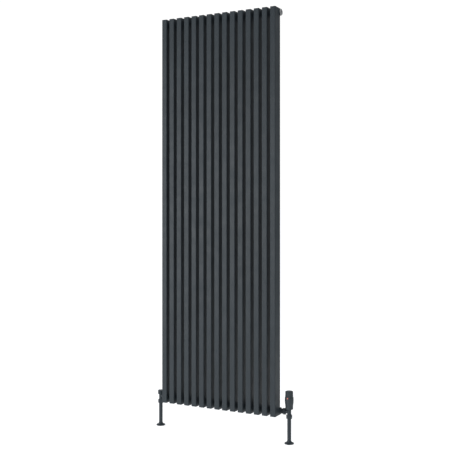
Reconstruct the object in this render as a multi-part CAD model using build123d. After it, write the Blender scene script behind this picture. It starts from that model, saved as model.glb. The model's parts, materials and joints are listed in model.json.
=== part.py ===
from build123d import *
import os

# Vertical panel radiator with a thermostatic valve and a lockshield valve.
# Origin on the floor, midway between the two pipes. +X right, +Y to the wall, +Z up.
# Millimetres. A "reach" below is a distance outwards from the outer side of the last tube.

# Driving dimensions of the radiator
tube_count = 15
tube_pitch = 40
tube_width = 25
tube_depth = 54
tube_height = 1800
tube_wall = 1.2
tube_corner = 2
cap_thickness = 1.5
floor_gap = 124
header_radius = 15
header_wall = 2
header_inset = 16.5
header_setback = 56
port_radius = 7
wall_gap = 56

# Driving dimensions of the wall brackets
bracket_x = 180
plate_width = 60
plate_height = 30
plate_thickness = 4
plate_corner = 6
screw_hole_spacing = 44
screw_hole_radius = 3.25
cup_radius = 11
cup_start = 20
peg_radius = 7
peg_end = 46
grub_radius = 3
grub_y = 34

# Driving dimensions of the valves and pipes
pipe_reach = 42.5
pipe_radius = 7.5
pipe_wall = 0.7
sleeve_radius = 8.7
sleeve_wall = 0.7
collar_radius = 21
collar_height = 13
waterway_radius = 5.5
union_nut_corners = 29.8
nut_chamfer = 1.1
olive_height = 4.5
fit_gap = 0.05
turn_gap = 0.3

# Heights above the floor
tube_bottom = floor_gap
tube_top = floor_gap + tube_height
low_header = tube_bottom + header_inset
high_header = tube_top - header_inset
trv_nut_bottom = 111
trv_nut_top = 128
lock_nut_bottom = 107
lock_nut_top = 123.5
head_bottom = 153
head_seam = 208
head_top = 233
lock_cap_bottom = 149
lock_cap_top = 168
lock_cap_radius = 13.6

# Places worked out from the driving dimensions
first_tube_x = -tube_pitch * (tube_count - 1) / 2
panel_half = -first_tube_x + tube_width / 2
pipe_x = panel_half + pipe_reach
tube_front = -header_setback
tube_rear = tube_front + tube_depth
notch_front = 3.5
boss_reach = 2
boss_length = 4
boss_spigot = 8
boss_bore = 9.65
thread_length = 10

os.makedirs("parts", exist_ok=True)


def save(name, shape):
    """Write one node. A list becomes a group of separate solids."""
    if isinstance(shape, list):
        shape = Compound(children=shape)
    export_step(shape, f"parts/{name}.step")


def turned(outline):
    """Solid of revolution about Z from an outline of (radius, height) points."""
    points = [(radius, 0, height) for radius, height in outline]
    return revolve(make_face(Polyline(*points, close=True)), Axis.Z)


def rod(radius, low, high):
    """Cylinder about Z between two heights."""
    return Pos(0, 0, (low + high) / 2) * Cylinder(radius, high - low)


def pipe_ring(inner, outer, low, high):
    """Ring about Z between two heights."""
    return rod(outer, low, high) - rod(inner, low - 1, high + 1)


def cross_rod(radius, near, far, height=0):
    """Cylinder about X between two places."""
    return Pos((near + far) / 2, 0, height) * Rot(0, 90, 0) * Cylinder(radius, abs(far - near))


def hex_bar(across_corners, low, high, chamfer):
    """Hexagonal bar about Z with both ends chamfered as a turned nut is."""
    radius = across_corners / 2
    bar = Pos(0, 0, low) * extrude(RegularPolygon(radius, 6), high - low)
    drop = chamfer / 2
    blank = turned([
        (0, low), (radius - chamfer, low), (radius, low + drop),
        (radius, high - drop), (radius - chamfer, high), (0, high),
    ])
    return bar & blank


def outward(shape, side, height):
    """Turn a shape built about Z to lie outwards along X from the panel's side."""
    return Pos(side * panel_half, 0, height) * Rot(0, 90 * side, 0) * shape


def at_pipe(shape, side):
    """Place a shape built about Z on the pipe's axis."""
    return Pos(side * pipe_x, 0, 0) * shape


def spring(coil_radius, wire_radius, low, high, turns):
    """Open coil spring about Z between two heights, round wire."""
    path = Helix((high - low - 2 * wire_radius) / turns, high - low - 2 * wire_radius, coil_radius)
    section = Plane(origin=path @ 0, z_dir=path % 0) * Circle(wire_radius)
    return Pos(0, 0, low + wire_radius) * sweep(section, path, is_frenet=True)


# ---- Panel: tubes, caps, headers ----

def tube_blank():
    """One tube, coped at the back around both headers and open to their ports."""
    length = tube_height - 2 * cap_thickness
    centre_y = (tube_front + tube_rear) / 2
    inner_width = tube_width - 2 * tube_wall
    inner_depth = tube_depth - 2 * tube_wall
    outside = extrude(RectangleRounded(tube_width, tube_depth, tube_corner), length)
    inside = extrude(RectangleRounded(inner_width, inner_depth, tube_corner - tube_wall), length)
    tube = Pos(0, centre_y, tube_bottom + cap_thickness) * (outside - inside)
    notch_depth = notch_front - tube_rear
    for height, end in ((low_header, -1), (high_header, 1)):
        tube -= cross_rod(header_radius + fit_gap, -tube_width, tube_width, height)
        notch = Box(2 * tube_width, notch_depth, header_inset)
        tube -= Pos(0, -notch_depth / 2, height + end * header_inset / 2) * notch
    return tube


def end_cap():
    """Flat plate that closes a tube, outer rim softened."""
    plate = extrude(RectangleRounded(tube_width, tube_depth, tube_corner), cap_thickness)
    plate = Pos(0, (tube_front + tube_rear) / 2, 0) * plate
    return fillet(plate.edges().group_by(Axis.Z)[-1], 0.6)


def header(height):
    """Round header with one water port into each tube."""
    half = panel_half + boss_reach - boss_length
    shape = cross_rod(header_radius, -half, half)
    shape -= cross_rod(header_radius - header_wall, -half - 1, half + 1)
    port = Rot(90, 0, 0) * rod(port_radius, 0, header_radius + 2)
    for index in range(tube_count):
        shape -= Pos(first_tube_x + index * tube_pitch, 0, 0) * port
    return Pos(0, 0, height) * shape


def end_boss(side, height):
    """Threaded boss welded in the end of a header."""
    face = boss_reach - boss_length
    shape = rod(header_radius, face, boss_reach)
    shape += rod(header_radius - header_wall - fit_gap, face - boss_spigot, face)
    shape -= rod(boss_bore, face - boss_spigot - 1, boss_reach + 1)
    return outward(shape, side, height)


tube = tube_blank()
for index in range(tube_count):
    save(f"tube_{index + 1:02d}", Pos(first_tube_x + index * tube_pitch, 0, 0) * tube)

top_cap = Pos(0, 0, tube_top - cap_thickness) * end_cap()
bottom_cap = Pos(0, 0, tube_bottom + cap_thickness) * mirror(end_cap(), Plane.XY)
tube_places = [Pos(first_tube_x + index * tube_pitch, 0, 0) for index in range(tube_count)]
save("tube_end_caps", [place * cap for cap in (top_cap, bottom_cap) for place in tube_places])
save("top_header", header(high_header))
save("bottom_header", header(low_header))
corners = [(side, height) for height in (high_header, low_header) for side in (-1, 1)]
save("header_end_bosses", [end_boss(side, height) for side, height in corners])


# ---- Wall brackets ----

def hanger_peg(side, height):
    """Peg welded on the back of a header."""
    peg = Rot(-90, 0, 0) * rod(peg_radius, header_radius - 3, peg_end)
    peg = Pos(0, 0, height) * peg - cross_rod(header_radius + fit_gap, -20, 20, height)
    return Pos(side * bracket_x, 0, 0) * peg


def wall_bracket(side, height, up):
    """Wall plate with two screw holes and a cup that takes a peg."""
    plate = extrude(RectangleRounded(plate_width, plate_height, plate_corner), plate_thickness)
    for hole_side in (-1, 1):
        hole = rod(screw_hole_radius, -1, plate_thickness + 1)
        plate -= Pos(hole_side * screw_hole_spacing / 2, 0, 0) * hole
    plate = Pos(0, 0, wall_gap - plate_thickness) * plate
    cup = rod(cup_radius, cup_start, wall_gap - plate_thickness)
    cup -= rod(peg_radius + turn_gap, cup_start - 1, wall_gap - plate_thickness)
    shape = Rot(-90, 0, 0) * (plate + cup)
    hole_end = 20 if up else -20
    shape -= Pos(0, grub_y, 0) * rod(grub_radius + fit_gap, min(0, hole_end), max(0, hole_end))
    return Pos(side * bracket_x, 0, height) * shape


def grub_screw(side, height, up):
    """Socket set screw that clamps the peg in its cup."""
    low = peg_radius + fit_gap
    high = cup_radius + 1
    screw = turned([(0, low), (1.6, low), (grub_radius, low + 1), (grub_radius, high - 0.4),
                    (grub_radius - 0.4, high), (0, high)])
    screw -= Pos(0, 0, high - 2) * extrude(RegularPolygon(1.7, 6), 3)
    if not up:
        screw = mirror(screw, Plane.XY)
    return Pos(side * bracket_x, grub_y, height) * screw


save("hanger_pegs", [hanger_peg(side, height) for side, height in corners])
for row, height in (("top", high_header), ("bottom", low_header)):
    for column, side in (("left", -1), ("right", 1)):
        save(f"wall_bracket_{row}_{column}", wall_bracket(side, height, row == "top"))
save("bracket_grub_screws", [grub_screw(side, height, height == high_header) for side, height in corners])


# ---- Plugs in the top header ----

flange_radius = 14.3
flange_thickness = 3
flange_back = boss_reach + fit_gap
flange_face = flange_back + flange_thickness
bleed_thread_radius = 3


def plug_blank():
    """Threaded plug with a round flange and a seal groove behind it."""
    plug = turned([
        (0, -6), (8.6, -6), (boss_bore - fit_gap, -5), (boss_bore - fit_gap, flange_back),
        (10.2, flange_back), (10.2, flange_back + 1.5), (12.4, flange_back + 1.5), (12.4, flange_back),
        (flange_radius, flange_back), (flange_radius, flange_face - 0.7),
        (flange_radius - 0.7, flange_face), (0, flange_face),
    ])
    return plug


def air_vent():
    """Vent plug: central bleed screw bore, its seat and a drilled outlet."""
    plug = plug_blank()
    plug -= rod(6.2, flange_face - 1.6, flange_face + 1)
    plug -= rod(bleed_thread_radius + fit_gap, -1.5, flange_face)
    plug -= rod(4.9, -3.5, -1.4)
    plug -= rod(1.5, -7, -3.4)
    plug -= Pos(4.3, 0, 0) * rod(0.7, -3, flange_face)
    return plug


def bleed_screw():
    """Bleed screw: cone point, threaded shank and a square for the key."""
    screw = turned([(0, -4.1), (0.9, -3.6), (2.4, -2.8), (2.4, -1.4), (bleed_thread_radius, -0.8),
                    (bleed_thread_radius, 3), (0, 3)])
    return screw + Pos(0, 0, 3) * extrude(Rectangle(4.1, 4.1), flange_face - 0.4 - 3)


def seal_ring(ring_radius, cord_radius, height):
    """O-ring about Z."""
    return Pos(0, 0, height) * Torus(ring_radius, cord_radius)


blanking = plug_blank() - Pos(0, 0, flange_face - 4.5) * extrude(RegularPolygon(6.9, 6), 6)
save("air_vent_plug", outward(air_vent(), 1, high_header))
save("vent_bleed_screw", outward(bleed_screw(), 1, high_header))
save("blanking_plug", outward(blanking, -1, high_header))
plug_seal = seal_ring(11.3, 0.72, flange_back + 0.74)
save("plug_o_rings", [outward(plug_seal, side, high_header) for side in (-1, 1)])


# ---- Unions between the bottom header and the valves ----

tail_face = 20.4
tail_flange = 2.2
tail_barrel = 8
tail_shoulder_radius = 11
tail_shoulder_end = 9
union_nut_near = 14
union_nut_far = 25.2
union_face = tail_face + 1.1
union_thread_radius = 11.4
neck_radius = 8.3


def union_tail():
    """Radiator tail: thread in the boss, shoulder, barrel and sealing flange."""
    inner_end = boss_reach - thread_length
    seat = boss_reach + fit_gap
    flange_low = tail_face - tail_flange
    outline = [
        (waterway_radius, inner_end), (boss_bore - fit_gap, inner_end), (boss_bore - fit_gap, seat),
        (tail_shoulder_radius, seat), (tail_shoulder_radius, tail_shoulder_end),
        (tail_barrel, tail_shoulder_end + 1.5), (tail_barrel, flange_low), (10.8, flange_low),
        (10.8, tail_face), (waterway_radius, tail_face),
    ]
    return turned(outline)


def union_nut():
    """Union nut: its lip pulls the tail's flange onto the valve."""
    nut = hex_bar(union_nut_corners, union_nut_near, union_nut_far, nut_chamfer)
    nut -= rod(tail_barrel + 0.2, union_nut_near - 1, tail_face)
    return nut - rod(union_thread_radius + fit_gap, tail_face - tail_flange - fit_gap, union_nut_far + 1)


def branch(barrel_radius):
    """Side branch of a valve body, from the pipe's axis inwards to the union face."""
    inner_end = pipe_reach - barrel_radius / 2
    return turned([
        (0, union_face), (union_thread_radius - 0.5, union_face), (union_thread_radius, union_face + 0.5),
        (union_thread_radius, union_nut_far + 0.4), (neck_radius, union_nut_far + 2),
        (neck_radius, inner_end), (0, inner_end),
    ])


def union_washer():
    """Flat fibre washer between the tail and the valve."""
    return pipe_ring(waterway_radius + 0.5, 10.4, tail_face + fit_gap, union_face - fit_gap)


save("union_tails", [outward(union_tail(), side, low_header) for side in (-1, 1)])
save("union_nuts", [outward(union_nut(), side, low_header) for side in (-1, 1)])
save("union_washers", [outward(union_washer(), side, low_header) for side in (-1, 1)])


# ---- Compression joints, pipes, sleeves and floor collars ----

socket_above_nut = 5.5
nut_floor = 3.5
olive_start = nut_floor + 0.1


def compression_nut(low, high, across_corners):
    """Nut that squeezes the olive onto the pipe."""
    nut = Rot(0, 0, 30) * hex_bar(across_corners, low, high, nut_chamfer)
    nut -= rod(pipe_radius + fit_gap, low - 1, high + 1)
    return nut - rod(inlet_thread_radius + fit_gap, low + nut_floor, high + 1)


def olive(low):
    """Copper ring with both ends tapered."""
    inner = pipe_radius + fit_gap / 2
    return turned([
        (inner, low), (inner + 0.5, low), (inner + 1.3, low + 1.4), (inner + 1.3, low + olive_height - 1.4),
        (inner + 0.5, low + olive_height), (inner, low + olive_height),
    ])


def floor_collar():
    """Floor plate with a short cone that hides the hole around the pipe."""
    bore = sleeve_radius + turn_gap
    return turned([
        (bore, 0), (collar_radius - 0.6, 0), (collar_radius, 1.2), (collar_radius, 3.2),
        (collar_radius - 1.4, 5), (13.8, 6.2), (11.2, 8.4), (10.1, collar_height), (bore, collar_height),
    ])


inlet_thread_radius = 9.6
nut_faces = {"supply": (1, trv_nut_bottom, trv_nut_top), "return": (-1, lock_nut_bottom, lock_nut_top)}
nut_corners = {"supply": 26.3, "return": 25.8}
olives = []
nuts = []
for line, (side, nut_low, nut_high) in nut_faces.items():
    socket_end = nut_high + socket_above_nut
    pipe = pipe_ring(pipe_radius - pipe_wall, pipe_radius, 0, socket_end - 0.5)
    sleeve = pipe_ring(sleeve_radius - sleeve_wall, sleeve_radius, 0.5, nut_low - 0.3)
    save(f"{line}_pipe", at_pipe(pipe, side))
    save(f"{line}_pipe_sleeve", at_pipe(sleeve, side))
    save(f"{line}_floor_collar", at_pipe(floor_collar(), side))
    nuts.append(at_pipe(compression_nut(nut_low, nut_high, nut_corners[line]), side))
    olives.append(at_pipe(olive(nut_low + olive_start), side))
save("compression_nuts", nuts)
save("olives", olives)


def inlet(nut_low, nut_high, barrel_radius, top):
    """Lower part of a valve body: thread for the nut and the barrel above it."""
    thread_low = nut_low + olive_start + olive_height + fit_gap
    return turned([
        (0, thread_low), (inlet_thread_radius - 0.4, thread_low), (inlet_thread_radius, thread_low + 0.6),
        (inlet_thread_radius, nut_high - 0.5), (barrel_radius, nut_high + 0.2), (barrel_radius, top),
        (0, top),
    ])


def pipe_socket(nut_low, nut_high):
    """Hollow that takes the end of the pipe."""
    return rod(pipe_radius + fit_gap, nut_low, nut_high + socket_above_nut)


def side_waterway(side, height):
    """Waterway through a valve's side branch, placed in the valve's own frame."""
    far = -side * (pipe_reach - union_face + 2)
    return cross_rod(waterway_radius, 0, far, height)


# ---- Thermostatic valve, right-hand side ----

trv_barrel = 8.8
trv_seat_top = 135.5
trv_chamber = 7.2
trv_crown_low = 154
trv_crown_top = 164
trv_crown_radius = 13.5
trv_insert_low = 148
trv_insert_floor = 154
trv_insert_top = 167.5
pin_radius = 1.5
pin_top = 172
pin_collar = 163
trv_seal_radius = 2.7
trv_seal_low = 150
trv_seal_high = 151.8
disc_radius = 6
disc_low = 137.6


def trv_body():
    """Angle body: pipe socket below, branch to the radiator, crown for the head above."""
    body = inlet(trv_nut_bottom, trv_nut_top, trv_barrel, trv_crown_low - 3)
    body += turned([
        (0, trv_crown_low - 4), (trv_barrel, trv_crown_low - 4), (trv_crown_radius, trv_crown_low),
        (trv_crown_radius, trv_crown_top - 0.5), (trv_crown_radius - 0.5, trv_crown_top), (0, trv_crown_top),
    ])
    body = at_pipe(body, 1) + outward(branch(trv_barrel), 1, low_header)
    hollow = pipe_socket(trv_nut_bottom, trv_nut_top) + rod(4.8, trv_nut_top, trv_seat_top)
    hollow += rod(trv_chamber, trv_seat_top, trv_crown_top + 1)
    hollow += side_waterway(1, low_header)
    return body - at_pipe(hollow, 1)


def trv_insert():
    """Brass gland that screws into the crown and guides the pin."""
    thread = trv_chamber - fit_gap
    insert = turned([
        (pin_radius + fit_gap, trv_insert_low), (thread, trv_insert_low), (thread, trv_crown_top + fit_gap),
        (8.5, trv_crown_top + fit_gap), (8.5, trv_insert_top), (4.6, trv_insert_top), (4.6, trv_insert_floor),
        (pin_radius + fit_gap, trv_insert_floor),
    ])
    return insert - pipe_ring(pin_radius, trv_seal_radius, trv_seal_low, trv_seal_high)


def trv_pin():
    """Pin with the collar that its spring pushes up."""
    return turned([
        (0, disc_low + 1.9), (pin_radius, disc_low + 1.9), (pin_radius, pin_collar), (4.2, pin_collar),
        (4.2, pin_collar + 1.2), (pin_radius, pin_collar + 1.2), (pin_radius, pin_top - 0.4),
        (pin_radius - 0.4, pin_top), (0, pin_top),
    ])


def trv_disc():
    """Metal disc on the pin's lower end that holds the rubber washer."""
    return turned([
        (0, disc_low), (disc_radius, disc_low), (disc_radius, disc_low + 1.8), (2.6, disc_low + 3.9),
        (pin_radius + fit_gap, disc_low + 3.9), (pin_radius + fit_gap, disc_low + 1.85), (0, disc_low + 1.85),
    ])


def head_outline(extra=0):
    """Outside of the head's fixed shell from its skirt to the seam, waisted below a bulge."""
    skirt = Line((17.2 + extra, head_bottom), (17.2 + extra, 165.5))
    flare = Spline((17.2 + extra, 165.5), (18.5 + extra, 176), (19.3 + extra, 184), (19.7 + extra, 196),
                   tangents=[(0, 1), (0, 1)])
    shoulder = Spline((19.7 + extra, 196), (19.2 + extra, 204), (17.7 + extra, head_seam),
                      tangents=[(0, 1), (-0.75, 0.66)])
    return [skirt, flare, shoulder]


def head_solid(extra=0):
    """Solid form of the shell's outside."""
    edges = head_outline(extra)
    edges += [
        Line((17.7 + extra, head_seam), (0, head_seam)), Line((0, head_seam), (0, head_bottom)),
        Line((0, head_bottom), (17.2 + extra, head_bottom)),
    ]
    face = Plane.XZ * make_face(edges)
    return revolve(face, Axis.Z)


shell_bore = 16
dot_height = 203
dot_radius = 3.4
dot_floor = 17.9


def head_shell():
    """Fixed shell of the head: skirt over the ring, floor with a neck, recess for the index dot."""
    shell = head_solid()
    shell -= rod(shell_bore, 170.5, head_seam + 1)
    shell -= rod(15.7, head_bottom - 1, 168.5)
    neck = turned([(9, 164.1), (13, 164.1), (13, 165.4), (11, 165.4), (11, 169), (9, 169)])
    shell += neck
    shell -= rod(5.2, 168, 171)
    recess = Pos(0, 0, dot_height) * Rot(90, 0, 0) * rod(dot_radius + 0.1, 0, 25)
    return shell - (recess - rod(dot_floor, dot_height - 6, dot_height + 6))


def index_dot():
    """Coloured dot let into the front of the shell, just proud of it."""
    dot = Pos(0, 0, dot_height) * Rot(90, 0, 0) * rod(dot_radius, 0, 25)
    return (dot & head_solid(0.2)) - rod(dot_floor + fit_gap, dot_height - 6, dot_height + 6)


def head_ring():
    """Knurled ring that holds the head on the crown."""
    ring = turned([
        (trv_crown_radius + fit_gap, 154.5), (15, 154.5), (15.3, 154.9), (15.3, 166.8), (15, 167.2),
        (11.3, 167.2), (11.3, 165.6), (trv_crown_radius + fit_gap, 165.6),
    ])
    for step in range(24):
        ring -= Rot(0, 0, step * 360 / 24) * Pos(15.5, 0, 0) * rod(0.5, 154, 168)
    return ring


capsule_low = 176
capsule_high = 204
setting_nut_low = 222


def sensor_capsule():
    """Sealed sensor with convolutions, which swells when the room warms."""
    shape = rod(12.5, capsule_low, capsule_high)
    for height in range(180, 201, 4):
        shape -= Pos(0, 0, height) * Torus(12.9, 1)
    return shape


def plunger():
    """Rod under the sensor that presses on the valve's pin."""
    step = capsule_low - 1.6
    return turned([
        (0, pin_top), (3.2, pin_top), (3.2, step), (8, step), (8, capsule_low), (0, capsule_low),
    ])


def setting_nut():
    """Threaded plate inside the knob that rises as the knob is turned."""
    nut = pipe_ring(4, 14.15, setting_nut_low, setting_nut_low + 5)
    return nut - pipe_ring(7.2, 20, setting_nut_low - 1, setting_nut_low + 1.5)


cap_outer = 17.4
cap_bore = 14.25
cap_groove_count = 36


def head_cap():
    """Knob: grooved grip, hollow with a spigot that turns inside the shell."""
    low = head_seam + turn_gap
    arc_start = (cap_outer, head_top - 4.2)
    edges = [
        Line((cap_bore, 203.6), (shell_bore - turn_gap, 203.6)),
        Line((shell_bore - turn_gap, 203.6), (shell_bore - turn_gap, low)),
        Line((shell_bore - turn_gap, low), (cap_outer, low)),
        Line((cap_outer, low), arc_start),
        TangentArc(arc_start, (cap_outer - 3.4, head_top - 0.8), tangent=(0, 1)),
        Spline((cap_outer - 3.4, head_top - 0.8), (0, head_top), tangents=[(-1, 0.25), (-1, 0)]),
        Line((0, head_top), (0, head_top - 2.4)),
        Line((0, head_top - 2.4), (cap_bore, head_top - 2.4)),
        Line((cap_bore, head_top - 2.4), (cap_bore, 203.6)),
    ]
    cap = revolve(Plane.XZ * make_face(edges), Axis.Z)
    for step in range(cap_groove_count):
        groove = Pos(cap_outer + 0.15, 0, 0) * rod(0.5, 219, 228)
        cap -= Rot(0, 0, step * 360 / cap_groove_count) * groove
    return cap


trv_pieces = {
    "trv_insert": trv_insert(),
    "trv_pin": trv_pin(),
    "trv_valve_disc": trv_disc(),
    "trv_disc_washer": rod(disc_radius, trv_seat_top + fit_gap, disc_low - fit_gap),
    "trv_return_spring": spring(3.3, 0.45, trv_insert_floor + 0.1, pin_collar - 0.1, 5),
    "trv_head_ring": head_ring(),
    "trv_head_shell": head_shell(),
    "trv_index_dot": index_dot(),
    "trv_sensor_capsule": sensor_capsule(),
    "trv_plunger": plunger(),
    "trv_safety_spring": spring(8.5, 0.9, capsule_high + 0.1, setting_nut_low + 1.4, 5),
    "trv_setting_nut": setting_nut(),
    "trv_head_cap": head_cap(),
}
save("trv_body", trv_body())
for name, shape in trv_pieces.items():
    save(name, at_pipe(shape, 1))


# ---- Lockshield valve, left-hand side ----

lock_barrel = 8.65
lock_chamber = 7.2
lock_seat_top = 133
lock_body_top = 153
lock_plug_radius = 5.9
lock_plug_top = 142
lock_rib_middle = 139.5
lock_seal_radius = 4.4
lock_seal_low = 150.5
lock_seal_high = 152.3
spindle_shoulder = 158
spindle_top = 163.5
spindle_radius = 3
key_width = 1.6


def lock_body():
    """Angle body with a chamber that guides the closing plug."""
    body = at_pipe(inlet(lock_nut_bottom, lock_nut_top, lock_barrel, lock_body_top), -1)
    body += outward(branch(lock_barrel), -1, low_header)
    hollow = pipe_socket(lock_nut_bottom, lock_nut_top) + rod(4.6, lock_nut_top, lock_seat_top)
    hollow += rod(lock_chamber, lock_seat_top, lock_body_top + 1)
    hollow += side_waterway(-1, low_header)
    body -= at_pipe(hollow, -1)
    ribs = Pos(0, 0, lock_rib_middle) * Box(key_width, 2 * lock_chamber + 0.4, 11)
    ribs -= rod(lock_chamber - 2.2, 130, 150)
    return body + at_pipe(ribs, -1)


def lock_plug():
    """Plug that closes on the seat: it rises on the spindle's thread, keyed against turning."""
    low = lock_seat_top + 0.3
    plug = turned([
        (0, low), (4.4, low), (lock_plug_radius, low + 1.5), (lock_plug_radius, lock_plug_top),
        (2.6, lock_plug_top), (2.6, low + 1.7), (0, low + 1.7),
    ])
    slot = Box(key_width + 0.6, 4 * lock_plug_radius, 40) - Cylinder(lock_chamber - 2.5, 40)
    return plug - Pos(0, 0, lock_rib_middle) * slot


def lock_spindle():
    """Spindle: thread in the plug, collar under the gland and a square for the key."""
    spindle = turned([
        (0, 138.3), (2.1, 138.3), (2.5, 138.7), (2.5, 145.4), (5.5, 145.4), (5.5, 147.3),
        (spindle_radius, 147.3),
        (spindle_radius, spindle_shoulder), (0, spindle_shoulder),
    ])
    square = extrude(Rectangle(4.2, 4.2), spindle_top - spindle_shoulder)
    return spindle + Pos(0, 0, spindle_shoulder) * square


def lock_gland():
    """Brass gland that holds the spindle down and carries its seal."""
    thread = lock_chamber - fit_gap
    seat = lock_body_top + fit_gap
    gland = turned([
        (spindle_radius + fit_gap, 147.5), (thread, 147.5), (thread, seat), (8.3, seat), (8.3, 156.5),
        (7.3, 157.5), (spindle_radius + fit_gap, 157.5),
    ])
    return gland - pipe_ring(spindle_radius, lock_seal_radius, lock_seal_low, lock_seal_high)


def lock_cap():
    """Plain push-on cap over the spindle."""
    outer = lock_cap_radius
    grip = lock_barrel + turn_gap
    return turned([
        (grip, lock_cap_bottom), (outer - 0.6, lock_cap_bottom), (outer, lock_cap_bottom + 0.6),
        (outer, lock_cap_top - 2), (outer - 0.55, lock_cap_top - 0.75), (outer - 1.8, lock_cap_top - 0.2),
        (0, lock_cap_top), (0, lock_cap_top - 2.2), (outer - 1.6, lock_cap_top - 2.2),
        (outer - 1.6, lock_cap_bottom + 3), (grip, lock_cap_bottom + 3),
    ])


lock_pieces = {
    "lockshield_plug": lock_plug(),
    "lockshield_spindle": lock_spindle(),
    "lockshield_gland": lock_gland(),
    "lockshield_cap": lock_cap(),
}
save("lockshield_body", lock_body())
for name, shape in lock_pieces.items():
    save(name, at_pipe(shape, -1))

pin_seal = seal_ring((pin_radius + trv_seal_radius) / 2, 0.56, (trv_seal_low + trv_seal_high) / 2)
spindle_seal = seal_ring((spindle_radius + lock_seal_radius) / 2, 0.66, (lock_seal_low + lock_seal_high) / 2)
save("stem_o_rings", [at_pipe(pin_seal, 1), at_pipe(spindle_seal, -1)])
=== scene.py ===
import json
import math

import bpy
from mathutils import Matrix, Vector, noise


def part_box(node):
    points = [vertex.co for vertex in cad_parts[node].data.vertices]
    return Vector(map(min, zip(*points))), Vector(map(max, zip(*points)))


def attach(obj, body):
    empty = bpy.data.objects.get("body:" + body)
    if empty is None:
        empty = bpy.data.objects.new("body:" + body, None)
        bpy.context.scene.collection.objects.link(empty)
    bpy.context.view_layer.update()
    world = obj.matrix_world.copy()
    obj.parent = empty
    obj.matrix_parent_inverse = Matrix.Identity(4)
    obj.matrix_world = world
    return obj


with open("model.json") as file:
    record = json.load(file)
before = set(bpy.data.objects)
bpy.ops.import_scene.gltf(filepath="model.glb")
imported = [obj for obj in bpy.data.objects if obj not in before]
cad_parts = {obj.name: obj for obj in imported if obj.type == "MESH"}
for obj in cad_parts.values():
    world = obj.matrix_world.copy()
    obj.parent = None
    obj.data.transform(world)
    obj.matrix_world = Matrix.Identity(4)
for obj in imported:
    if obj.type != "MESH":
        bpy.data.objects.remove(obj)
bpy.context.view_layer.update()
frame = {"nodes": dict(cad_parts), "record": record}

# Looks of a vertical tube radiator with a thermostatic valve and a lockshield valve.
# Metres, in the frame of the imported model: +X right, +Y to the wall, +Z up, floor at Z = 0.

millimetre = 0.001
slots = {row["node"]: row["material_slot"] for row in frame["record"]["subparts"]}


# ---- Helpers for shader trees ----

def feed(tree, node, sockets):
    """Gives a node's inputs, by name or number, a value or the output of another node."""
    for name, value in sockets.items():
        if isinstance(value, bpy.types.NodeSocket):
            tree.links.new(value, node.inputs[name])
        else:
            node.inputs[name].default_value = value


def add(tree, kind, settings=None, sockets=None):
    """Adds a shader node with its properties and inputs."""
    made = tree.nodes.new(kind)
    for name, value in (settings or {}).items():
        setattr(made, name, value)
    feed(tree, made, sockets or {})
    return made


def grey(value):
    return (value, value, value, 1)


def scaled(colour, factor):
    return tuple(channel * factor for channel in colour) + (1,)


def start_material(name):
    """A new material: returns it with its tree, its Principled shader and the object coordinates."""
    material = bpy.data.materials.new(name)
    material.use_nodes = True
    tree = material.node_tree
    tree.nodes.clear()
    output = add(tree, "ShaderNodeOutputMaterial")
    shader = add(tree, "ShaderNodeBsdfPrincipled")
    feed(tree, output, {"Surface": shader.outputs["BSDF"]})
    place = add(tree, "ShaderNodeTexCoord").outputs["Object"]
    return material, tree, shader, place


def noise_at(tree, place, size, detail=3.0, roughness=0.5):
    """Noise whose features are about size metres wide, as a value from 0 to 1."""
    sockets = {"Vector": place, "Scale": 1 / size, "Detail": detail, "Roughness": roughness}
    return add(tree, "ShaderNodeTexNoise", sockets=sockets).outputs["Fac"]


def remap(tree, value, source, target):
    """Maps a value from one range to another, clamped."""
    ranges = {"From Min": source[0], "From Max": source[1], "To Min": target[0], "To Max": target[1]}
    return add(tree, "ShaderNodeMapRange", sockets={"Value": value, **ranges}).outputs["Result"]


def blend(tree, factor, first, second):
    """Mixes two colours."""
    made = add(tree, "ShaderNodeMix", {"data_type": "RGBA"}, {0: factor, 6: first, 7: second})
    return made.outputs[2]


def maths(tree, operation, first, second):
    return add(tree, "ShaderNodeMath", {"operation": operation}, {0: first, 1: second}).outputs[0]


def axes(tree, vector):
    """The X, Y and Z of a vector."""
    return add(tree, "ShaderNodeSeparateXYZ", sockets={"Vector": vector}).outputs


def bump(tree, height, depth, normal=None):
    """Bump of a height from 0 to 1 that stands for depth metres, on top of a normal if one is given."""
    sockets = {"Height": height, "Distance": depth}
    if normal is not None:
        sockets["Normal"] = normal
    return add(tree, "ShaderNodeBump", sockets=sockets).outputs["Normal"]


def rounded_normal(tree, radius):
    """The surface's normal with its sharp edges rounded off."""
    return add(tree, "ShaderNodeBevel", {"samples": 6}, {"Radius": radius}).outputs["Normal"]


def edge_mask(tree, rounded):
    """1 along sharp edges and 0 on open faces, from how far a rounded normal leaves the face's own."""
    own = add(tree, "ShaderNodeNewGeometry").outputs["Normal"]
    likeness = add(tree, "ShaderNodeVectorMath", {"operation": "DOT_PRODUCT"}, {0: rounded, 1: own})
    return remap(tree, likeness.outputs["Value"], (0.995, 0.86), (0, 1))


# ---- Materials ----

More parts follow.
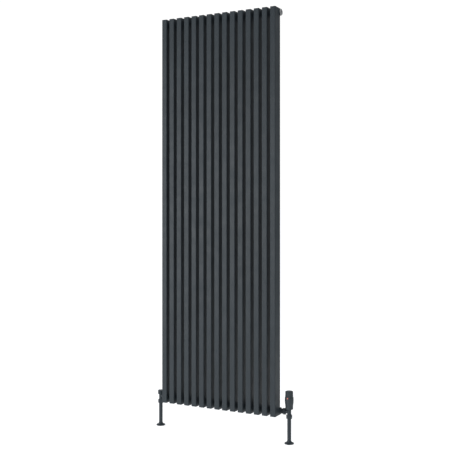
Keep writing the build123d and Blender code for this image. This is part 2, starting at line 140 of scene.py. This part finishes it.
def powder_coat(name, colour, roughness, peel_size, peel_depth, edge_radius, edge_highlight_gain):
    """Satin powder coat: orange peel, speckle, slow colour drift and a painted highlight, a paler tone
    along the edges.
    """
    material, tree, shader, place = start_material(name)
    drift = noise_at(tree, place, size=0.22, detail=2)
    speckle = noise_at(tree, place, size=0.0006, detail=2)
    peel = noise_at(tree, place, size=peel_size, detail=2)
    grain = noise_at(tree, place, size=peel_size / 5, detail=1)
    gloss = noise_at(tree, place, size=0.05, detail=4)
    rounded = rounded_normal(tree, edge_radius)
    # Painted highlight: the edge mask lightens the coat along sharp edges, standing in for light caught
    # there.
    edge_highlight = maths(tree, "MULTIPLY", edge_mask(tree, rounded), 0.7)
    tone = blend(tree, remap(tree, drift, (0.3, 0.7), (0, 1)), scaled(colour, 0.93), scaled(colour, 1.07))
    tone = blend(tree, remap(tree, speckle, (0.62, 0.72), (0, 0.5)), tone, scaled(colour, 1.5))
    # The painted highlight on the edges goes into the colour here.
    tone = blend(tree, edge_highlight, tone, scaled(colour, edge_highlight_gain))
    height = maths(tree, "ADD", maths(tree, "MULTIPLY", peel, 0.8), maths(tree, "MULTIPLY", grain, 0.2))
    feed(tree, shader, {
        "Base Color": tone,
        "Roughness": remap(tree, gloss, (0.3, 0.7), (roughness - 0.05, roughness + 0.05)),
        "Specular IOR Level": 0.22,
        "Normal": bump(tree, height, peel_depth, rounded),
    })
    return material


def moulded_plastic(name, colour, roughness, specular):
    """Moulded plastic with a fine spark-eroded texture and a painted highlight, a paler tone along its
    edges.
    """
    material, tree, shader, place = start_material(name)
    drift = noise_at(tree, place, size=0.012, detail=3)
    grain = noise_at(tree, place, size=0.00035, detail=2)
    gloss = noise_at(tree, place, size=0.006, detail=4)
    rounded = rounded_normal(tree, 0.5 * millimetre)
    # Painted highlight: the edge mask lightens the plastic along sharp edges, standing in for light caught
    # there.
    edge_highlight = maths(tree, "MULTIPLY", edge_mask(tree, rounded), 0.5)
    tone = blend(tree, remap(tree, drift, (0.3, 0.7), (0, 1)), scaled(colour, 0.9), scaled(colour, 1.1))
    tone = blend(tree, edge_highlight, tone, scaled(colour, 1.9))
    feed(tree, shader, {
        "Base Color": tone,
        "Roughness": remap(tree, gloss, (0.3, 0.7), (roughness - 0.07, roughness + 0.07)),
        "Specular IOR Level": specular,
        "Normal": bump(tree, grain, 0.06 * millimetre, rounded),
    })
    return material


def metal(name, colour, roughness, stretch, tarnish):
    """Bare metal with tool marks stretched by axis, slow tarnish and small pits."""
    material, tree, shader, place = start_material(name)
    mapping = add(tree, "ShaderNodeMapping", sockets={"Vector": place, "Scale": stretch})
    marks = noise_at(tree, mapping.outputs["Vector"], size=0.0012, detail=3)
    stain = noise_at(tree, place, size=0.006, detail=5, roughness=0.6)
    pits = noise_at(tree, place, size=0.0005, detail=1)
    tone = blend(tree, remap(tree, stain, (0.42, 0.72), (0, 1)), scaled(colour, 1), scaled(tarnish, 1))
    polish = remap(tree, marks, (0.3, 0.7), (roughness - 0.08, roughness + 0.08))
    dullness = remap(tree, stain, (0.45, 0.75), (0, 0.15))
    height = maths(tree, "SUBTRACT", marks, remap(tree, pits, (0.68, 0.75), (0, 0.6)))
    feed(tree, shader, {
        "Base Color": tone,
        "Roughness": maths(tree, "ADD", polish, dullness),
        "Metallic": 1,
        "Normal": bump(tree, height, 0.02 * millimetre),
    })
    return material


def soft_seal(name, colour):
    """Rubber or fibre: bloom in patches and a fine moulded grain."""
    material, tree, shader, place = start_material(name)
    bloom = noise_at(tree, place, size=0.003, detail=4)
    grain = noise_at(tree, place, size=0.0004)
    tone = blend(tree, remap(tree, bloom, (0.45, 0.7), (0, 1)), scaled(colour, 1), scaled(colour, 2.2))
    feed(tree, shader, {
        "Base Color": tone,
        "Roughness": remap(tree, bloom, (0.3, 0.7), (0.62, 0.85)),
        "Normal": bump(tree, grain, 0.03 * millimetre),
    })
    return material


anthracite = (0.0245, 0.0325, 0.0385)
valve_grey = (0.0265, 0.0345, 0.041)
plastic_grey = (0.0265, 0.035, 0.041)
dull_white = (0.72, 0.71, 0.66)
signal_red = (0.52, 0.13, 0.085)

# For each powder coat, the last argument sets how much paler its edges are painted: a painted highlight.
materials = {
    "panel_paint": powder_coat("panel_paint", anthracite, roughness=0.46, peel_size=0.0018,
                               peel_depth=0.12 * millimetre, edge_radius=1.2 * millimetre, edge_highlight_gain=1.3),
    "valve_paint": powder_coat("valve_paint", valve_grey, roughness=0.42, peel_size=0.0012,
                               peel_depth=0.07 * millimetre, edge_radius=0.5 * millimetre, edge_highlight_gain=1.6),
    "head_plastic": moulded_plastic("head_plastic", plastic_grey, roughness=0.5, specular=0.35),
    "white_plastic": moulded_plastic("white_plastic", dull_white, roughness=0.55, specular=0.4),
    "index_colour": moulded_plastic("index_colour", signal_red, roughness=0.4, specular=0.4),
    "vent_metal": metal("vent_metal", (0.44, 0.44, 0.44), roughness=0.38,
                        stretch=(0.2, 1, 1), tarnish=(0.33, 0.325, 0.32)),
    "brass": metal("brass", (0.78, 0.56, 0.25), roughness=0.32,
                   stretch=(1, 1, 6), tarnish=(0.45, 0.28, 0.12)),
    "copper": metal("copper", (0.80, 0.40, 0.25), roughness=0.34,
                    stretch=(1, 1, 0.1), tarnish=(0.38, 0.17, 0.10)),
    "spring_steel": metal("spring_steel", (0.55, 0.55, 0.55), roughness=0.34,
                          stretch=(1, 1, 4), tarnish=(0.32, 0.31, 0.30)),
    "sensor_metal": metal("sensor_metal", (0.74, 0.74, 0.73), roughness=0.36,
                          stretch=(1, 1, 6), tarnish=(0.55, 0.55, 0.54)),
    "seal_rubber": soft_seal("seal_rubber", (0.016, 0.016, 0.016)),
    "fibre": soft_seal("fibre", (0.22, 0.07, 0.04)),
}

for node_name, node_object in frame["nodes"].items():
    node_object.data.materials.clear()
    node_object.data.materials.append(materials[slots[node_name]])


# ---- New mesh pieces ----

def add_object(name, data):
    """Puts data, such as a mesh, a light or a camera, in the scene as an object."""
    made = bpy.data.objects.new(name, data)
    bpy.context.scene.collection.objects.link(made)
    return made


def add_piece(name, mesh, body, slot_name):
    """A mesh piece that rides on a body and has a slot's finish."""
    mesh.materials.clear()
    mesh.materials.append(materials[slot_name])
    made = add_object(name, mesh)
    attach(made, body)


# ---- Weld beads ----

# A bead's radius swings evenly by even_ripple, with ripple_rhythm radians from one ring of the
# mesh to the next, and unevenly by uneven_ripple. Both are shares of the radius.
tube_count = 15
tube_names = [f"tube_{number:02d}" for number in range(1, tube_count + 1)]
header_names = ("top_header", "bottom_header")
bead_sides = 8
ripple_rhythm = 2.1
even_ripple = 0.13
uneven_ripple = 0.22
unevenness_per_metre = 700
saddle_bead_radius = 1.3 * millimetre
saddle_half_steps = 15
peg_bead_radius = 1.5 * millimetre
peg_radius = 7 * millimetre
peg_steps = 36


def add_bead(vertices, faces, points, across, radius, closed):
    """Adds a rippled weld bead along points. Across is a direction that the path never runs along."""
    first = len(vertices)
    count = len(points)
    for index, point in enumerate(points):
        before = points[index - 1] if index or closed else point
        after = points[(index + 1) % count] if index < count - 1 or closed else point
        along = (after - before).normalized()
        side = (across - across.dot(along) * along).normalized()
        up = along.cross(side)
        even = even_ripple * math.sin(index * ripple_rhythm)
        uneven = uneven_ripple * noise.noise(point * unevenness_per_metre)
        for step in range(bead_sides):
            turn = step * math.tau / bead_sides
            outward = math.cos(turn) * side + math.sin(turn) * up
            vertices.append(point + radius * (1 + even + uneven) * outward)
    rings = count if closed else count - 1
    for ring in range(rings):
        here = first + ring * bead_sides
        there = first + (ring + 1) % count * bead_sides
        for step in range(bead_sides):
            following = (step + 1) % bead_sides
            faces.append((here + step, here + following, there + following, there + step))
    if not closed:
        last = first + (count - 1) * bead_sides
        faces.append([first + step for step in reversed(range(bead_sides))])
        faces.append([last + step for step in range(bead_sides)])


def add_welds(name, vertices, faces):
    """A painted piece of smooth beads on the radiator."""
    mesh = bpy.data.meshes.new(name)
    mesh.from_pydata(vertices, [], faces)
    mesh.shade_smooth()
    add_piece(name, mesh, "radiator", "panel_paint")


def header_section(header_name):
    """A header's radius, and the Y and Z of its axis."""
    low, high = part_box(header_name)
    return (high[2] - low[2]) / 2, (high[1] + low[1]) / 2, (high[2] + low[2]) / 2


def saddle_welds(header_name):
    """Beads where a header passes into the sides of the tubes."""
    radius, centre_y, centre_z = header_section(header_name)
    vertices, faces = [], []
    for tube_name in tube_names:
        tube_low, tube_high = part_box(tube_name)
        reach = math.acos((centre_y - tube_high[1]) / radius)
        for side_x in (tube_low[0], tube_high[0]):
            points = []
            for step in range(2 * saddle_half_steps + 1):
                angle = reach * (step / saddle_half_steps - 1)
                y = centre_y - radius * math.cos(angle)
                z = centre_z + radius * math.sin(angle)
                points.append(Vector((side_x, y, z)))
            add_bead(vertices, faces, points, Vector((1, 0, 0)), saddle_bead_radius, False)
    add_welds(f"{header_name}_welds", vertices, faces)


def peg_welds():
    """Beads round the hanger pegs where they stand on the backs of the headers."""
    vertices, faces = [], []
    for header_name in header_names:
        radius, centre_y, centre_z = header_section(header_name)
        row = header_name.split("_")[0]
        for column in ("left", "right"):
            plate_low, plate_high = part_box(f"wall_bracket_{row}_{column}")
            centre_x = (plate_low[0] + plate_high[0]) / 2
            points = []
            for step in range(peg_steps):
                angle = step * math.tau / peg_steps
                x = centre_x + peg_radius * math.cos(angle)
                rise = peg_radius * math.sin(angle)
                depth = math.sqrt(radius ** 2 - rise ** 2)
                points.append(Vector((x, centre_y + depth, centre_z + rise)))
            add_bead(vertices, faces, points, Vector((0, 1, 0)), peg_bead_radius, True)
    add_welds("peg_welds", vertices, faces)


for header_name in header_names:
    saddle_welds(header_name)
peg_welds()


# ---- Numerals round the knob ----

numeral_count = 6
numeral_foot = 6.3 * millimetre
numeral_size = 8.5 * millimetre
numeral_depth = 0.3 * millimetre
numeral_bevel = 0.08 * millimetre


def flat_numeral(digit):
    """A numeral as a mesh that lies in the XY plane."""
    curve = bpy.data.curves.new("numeral", "FONT")
    curve.body = str(digit)
    curve.size = numeral_size
    curve.align_x = "CENTER"
    curve.extrude = numeral_depth
    curve.bevel_depth = numeral_bevel
    flat = add_object("flat_numeral", curve)
    mesh = bpy.data.meshes.new_from_object(flat.evaluated_get(bpy.context.evaluated_depsgraph_get()))
    bpy.data.objects.remove(flat)
    return mesh


def numeral(digit, angle):
    """A raised numeral wrapped round the knob. The angle is measured from the front."""
    low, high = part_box("trv_head_cap")
    axis_x = (low[0] + high[0]) / 2
    axis_y = (low[1] + high[1]) / 2
    wall = (high[0] - low[0]) / 2
    mesh = flat_numeral(digit)
    for vertex in mesh.vertices:
        across, up, out = vertex.co
        turn = angle + across / wall
        radius = wall + out
        x = axis_x + radius * math.sin(turn)
        y = axis_y - radius * math.cos(turn)
        vertex.co = (x, y, low[2] + numeral_foot + up)
    add_piece(f"knob_numeral_{digit}", mesh, "trv_knob", "head_plastic")


for digit in range(numeral_count):
    numeral(digit, -digit * math.tau / numeral_count)


# ---- Camera ----

camera_data = bpy.data.cameras.new("camera")
camera_data.sensor_width = 36
camera_data.lens = 64.8
camera_data.shift_x = -0.0173
camera_data.shift_y = -0.0391
camera = add_object("camera", camera_data)
camera.location = (1.772, -3.279, 1.042)
camera.rotation_euler = (math.radians(90), 0, math.radians(27.65))
bpy.context.scene.camera = camera


# ---- Studio: floor, soft lights, pale surroundings ----

# The floor's glow grows from glow_start to glow_full along Y. To the right it fades from
# glow_right to glow_end, which are values of X + glow_slant * Y.
floor_half = 400
floor_glow = 0.64
glow_start = -1.6
glow_full = -0.45
glow_slant = 0.224
glow_right = 1.08
glow_end = 1.5


def floor_finish():
    """Pale seamless floor, softly lit from within beside and behind the object: it has no horizon."""
    material, tree, shader, place = start_material("studio_floor")
    drift = noise_at(tree, place, size=0.8, detail=2)
    position = axes(tree, place)
    backward = remap(tree, position["Y"], (glow_start, glow_full), (0, floor_glow))
    slanted = maths(tree, "ADD", position["X"], maths(tree, "MULTIPLY", position["Y"], glow_slant))
    leftward = remap(tree, slanted, (glow_right, glow_end), (1, 0))
    feed(tree, shader, {
        "Base Color": blend(tree, drift, grey(0.78), grey(0.82)),
        "Roughness": 0.9,
        "Specular IOR Level": 0.1,
        "Emission Color": grey(1),
        "Emission Strength": maths(tree, "MULTIPLY", backward, leftward),
    })
    return material


def add_floor():
    """A flat square floor that faces up."""
    mesh = bpy.data.meshes.new("studio_floor")
    corners = [(-floor_half, -floor_half, 0), (floor_half, -floor_half, 0),
               (floor_half, floor_half, 0), (-floor_half, floor_half, 0)]
    mesh.from_pydata(corners, [], [(0, 1, 2, 3)])
    mesh.materials.append(floor_finish())
    add_object("studio_floor", mesh)


def soft_light(name, place, target, width, height, power):
    """Rectangular soft light that faces a target."""
    data = bpy.data.lights.new(name, "AREA")
    data.shape = "RECTANGLE"
    data.size = width
    data.size_y = height
    data.energy = power
    made = add_object(name, data)
    made.location = place
    made.rotation_euler = (Vector(target) - Vector(place)).to_track_quat("-Z", "Y").to_euler()


def studio_world():
    """White wall behind the object, and a dimmer room that is slightly paler on the right."""
    world = bpy.data.worlds.new("studio_world")
    world.use_nodes = True
    tree = world.node_tree
    direction = axes(tree, add(tree, "ShaderNodeTexCoord").outputs["Generated"])
    backward = remap(tree, direction["Y"], (0.58, 0.68), (0, 1))
    low_down = remap(tree, direction["Z"], (0.3, 0.42), (1, 0))
    leftward = remap(tree, direction["X"], (-0.14, -0.04), (1, 0))
    wall = maths(tree, "MULTIPLY", maths(tree, "MULTIPLY", backward, low_down), leftward)
    rightward = remap(tree, direction["X"], (-0.3, 0.3), (0, 1))
    room = blend(tree, rightward, (0.47, 0.49, 0.51, 1), (0.50, 0.52, 0.54, 1))
    feed(tree, tree.nodes["Background"], {"Color": blend(tree, wall, room, grey(1.05))})
    return world


add_floor()
soft_light("front_softbox", (-1.9, -3.4, 1.1), (0, 0, 1.0), width=1.5, height=2.2, power=84)
soft_light("top_softbox", (0.2, -0.6, 4.2), (0, -0.3, 0), width=3.0, height=3.0, power=25)
bpy.context.scene.world = studio_world()
bpy.context.scene.view_settings.view_transform = "Standard"
bpy.context.scene.view_settings.look = "None"
